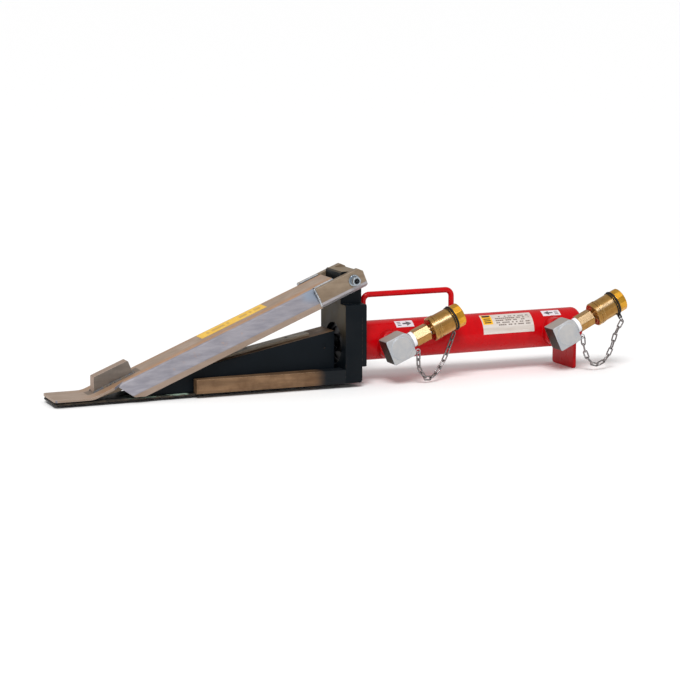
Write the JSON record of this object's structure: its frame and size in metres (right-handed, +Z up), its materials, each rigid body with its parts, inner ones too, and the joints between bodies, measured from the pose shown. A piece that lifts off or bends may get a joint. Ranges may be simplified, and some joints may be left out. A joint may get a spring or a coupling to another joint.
{
  "type": "hydraulic wedge spreader",
  "caption": "Hydraulic wedge spreader: a cylinder pushes a wedge under a hinged steel jaw to open a gap; quick couplers with dust caps feed the red cylinder.",
  "frame": {"origin": "on the base plate's underside, straight below the jaw's pivot axis, midway between the two sides", "axes": "+X from the toe to the cylinder's rear, +Z up from the ground to the pivot, +Y away from the side with the hydraulic ports"},
  "size_m": [0.8411, 0.1144, 0.1633],
  "materials": {
    "black_paint": "satin black, sprayed thin over the steel at the edges",
    "mill_steel": "hot-rolled steel with a warm brown scale, scratched",
    "sheet_steel": "pressed sheet steel, warm on the flats and blue-grey on the sides",
    "wear_steel": "ground wear strip, rubbed bright",
    "pin_steel": "zinc-plated pin steel",
    "dark_steel": "blackened screw steel",
    "rod_chrome": "hard chrome, polished",
    "red_paint": "glossy signal red enamel",
    "zinc_cast": "zinc-plated casting, dull with bright edges",
    "brass": "turned brass, polished",
    "brass_cap": "yellow brass, polished",
    "valve_steel": "stainless, turned",
    "spring_steel": "spring wire, oiled",
    "ball_steel": "polished bearing ball",
    "chain_steel": "galvanised wire chain",
    "black_rubber": "matt black rubber",
    "seal_rubber": "oiled black seal rubber",
    "white_plastic": "white moulded plastic",
    "plate_silver": "satin plate with plain printed bars",
    "label_white": "white printed label with plain marks",
    "label_yellow": "worn yellow strip label with plain bars",
    "iron_gland": "machined iron",
    "bronze_washer": "copper sealing washer"
  },
  "bodies": {
    "base_frame": {"base_plate": "black_paint", "rail_near": "mill_steel", "rail_far": "mill_steel", "upright_block": "black_paint", "flange_plate": "black_paint", "flange_screws": "dark_steel", "cylinder_tube": "red_paint", "cylinder_end_cap": "red_paint", "end_cap_seal": "seal_rubber", "head_gland": "iron_gland", "gland_seal": "seal_rubber", "rod_seal": "seal_rubber", "rod_wiper": "seal_rubber", "carry_handle": "red_paint", "foot_plate": "red_paint", "rating_plate": "plate_silver", "front_port_label": "label_white", "rear_port_label": "label_white", "front_port_boss": "red_paint", "front_port_washer": "bronze_washer", "front_elbow": "zinc_cast", "front_spacer_ring": "white_plastic", "front_coupler_body": "brass", "front_lock_balls": "ball_steel", "front_sleeve_spring": "spring_steel", "front_chain": "chain_steel", "rear_port_boss": "red_paint", "rear_port_washer": "bronze_washer", "rear_elbow": "zinc_cast", "rear_spacer_ring": "white_plastic", "rear_coupler_body": "brass", "rear_lock_balls": "ball_steel", "rear_sleeve_spring": "spring_steel", "rear_chain": "chain_steel"},
    "jaw": {"jaw_plate": "sheet_steel", "fork_arm_near": "mill_steel", "fork_arm_far": "mill_steel", "stop_fin": "mill_steel", "thrust_pad": "mill_steel", "jaw_label": "label_yellow", "pivot_pin": "pin_steel", "pivot_rings": "pin_steel"},
    "wedge": {"wedge_block": "black_paint", "wear_strip": "wear_steel", "strip_screws": "dark_steel", "piston_rod": "rod_chrome", "rod_cross_pin": "dark_steel", "piston": "iron_gland", "piston_seals": "seal_rubber", "piston_nut": "dark_steel", "stop_tube": "iron_gland"},
    "front_sleeve": {"front_lock_sleeve": "brass"},
    "front_valve": {"front_poppet": "valve_steel"},
    "front_cap": {"front_dust_cap": "brass_cap", "front_cap_strap": "black_rubber"},
    "rear_sleeve": {"rear_lock_sleeve": "brass"},
    "rear_valve": {"rear_poppet": "valve_steel"},
    "rear_cap": {"rear_dust_cap": "brass_cap", "rear_cap_strap": "black_rubber"}
  },
  "joints": [
    {"name": "wedge_slide", "type": "slide", "parent": "base_frame", "child": "wedge", "axis": [-1, 0, 0], "range_m": [0, 0.1]},
    {"name": "jaw_pivot", "type": "hinge", "parent": "base_frame", "child": "jaw", "pos_m": [0, 0, 0.144], "axis": [0, 1, 0], "range_deg": [0, 4.36]},
    {"name": "front_sleeve_pull", "type": "slide", "parent": "base_frame", "child": "front_sleeve", "axis": [-0.9198, 0, -0.3923], "range_m": [0, 0.003], "stiffness_N_per_m": 3000, "springref_m": -0.002, "deforming": ["front_sleeve_spring"]},
    {"name": "front_valve_push", "type": "slide", "parent": "base_frame", "child": "front_valve", "axis": [-0.9198, 0, -0.3923], "range_m": [0, 0.003], "stiffness_N_per_m": 1500, "springref_m": -0.002},
    {"name": "front_cap_pull", "type": "slide", "parent": "base_frame", "child": "front_cap", "axis": [0.9198, 0, 0.3923], "range_m": [0, 0.032], "deforming": ["front_chain"]},
    {"name": "rear_sleeve_pull", "type": "slide", "parent": "base_frame", "child": "rear_sleeve", "axis": [-0.9041, 0, -0.4274], "range_m": [0, 0.003], "stiffness_N_per_m": 3000, "springref_m": -0.002, "deforming": ["rear_sleeve_spring"]},
    {"name": "rear_valve_push", "type": "slide", "parent": "base_frame", "child": "rear_valve", "axis": [-0.9041, 0, -0.4274], "range_m": [0, 0.003], "stiffness_N_per_m": 1500, "springref_m": -0.002},
    {"name": "rear_cap_pull", "type": "slide", "parent": "base_frame", "child": "rear_cap", "axis": [0.9041, 0, 0.4274], "range_m": [0, 0.032], "deforming": ["rear_chain"]}
  ],
  "couplings": [
    {"joint": "jaw_pivot", "follows": "wedge_slide", "rad_per_m": 0.76}
  ]
}
